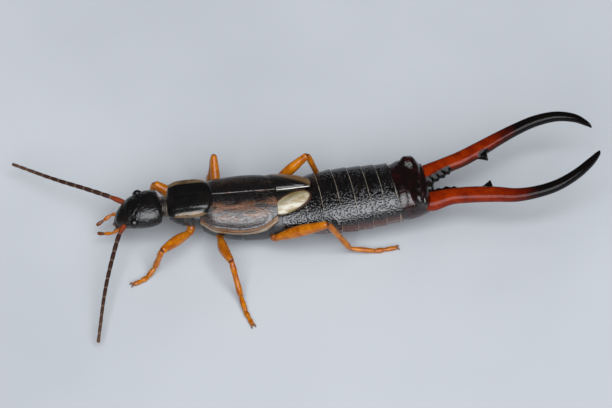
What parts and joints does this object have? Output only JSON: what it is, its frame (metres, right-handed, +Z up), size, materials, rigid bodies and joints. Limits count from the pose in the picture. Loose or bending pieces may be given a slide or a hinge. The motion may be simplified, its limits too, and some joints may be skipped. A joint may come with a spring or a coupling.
{
  "type": "earwig",
  "caption": "Life-size male earwig standing on its feet, with long bent forceps, folded wings and spread feelers.",
  "frame": {"origin": "on the floor, under the middle of the bounding box", "axes": "+X from the head to the forceps, +Y to the animal's right, +Z up"},
  "size_m": [0.0282, 0.0108, 0.0034],
  "materials": {
    "head_shell": "smooth glossy black horn",
    "eye": "glossy black, faceted",
    "neck_skin": "grey-tan skin",
    "pronotum_plate": "glossy black horn with pale tan sides",
    "under_shell": "dark brown to greenish black horn",
    "wing_case": "coppery brown horn with tan outer edges and fine pits",
    "wing_pack": "ivory folded wing with a brown rim",
    "abdomen_shell": "black, finely pitted horn with pale edge lines",
    "last_plate": "dark red-black glossy horn",
    "forceps_horn": "orange-red glossy horn that darkens to black tips",
    "feeler": "dark brown beads with paler joints",
    "limb": "amber yellow horn, slightly translucent",
    "mouthpart": "dark red-brown horn"
  },
  "bodies": {
    "root": {"abdomen": "abdomen_shell", "antenna_left": "feeler", "antenna_right": "feeler", "elytron_left": "wing_case", "elytron_right": "wing_case", "eye_left": "eye", "eye_right": "eye", "forceps_left": "forceps_horn", "forceps_right": "forceps_horn", "front_left_leg": "limb", "front_right_leg": "limb", "head": "head_shell", "hind_left_leg": "limb", "hind_right_leg": "limb", "labial_palp_left": "limb", "labial_palp_right": "limb", "labrum": "mouthpart", "last_tergite": "last_plate", "mandible_left": "mouthpart", "mandible_right": "mouthpart", "maxillary_palp_left": "limb", "maxillary_palp_right": "limb", "middle_left_leg": "limb", "middle_right_leg": "limb", "neck": "neck_skin", "pronotum": "pronotum_plate", "prothorax": "under_shell", "pygidium": "last_plate", "thorax": "under_shell", "wing_left": "wing_pack", "wing_right": "wing_pack"}
  },
  "joints": []
}
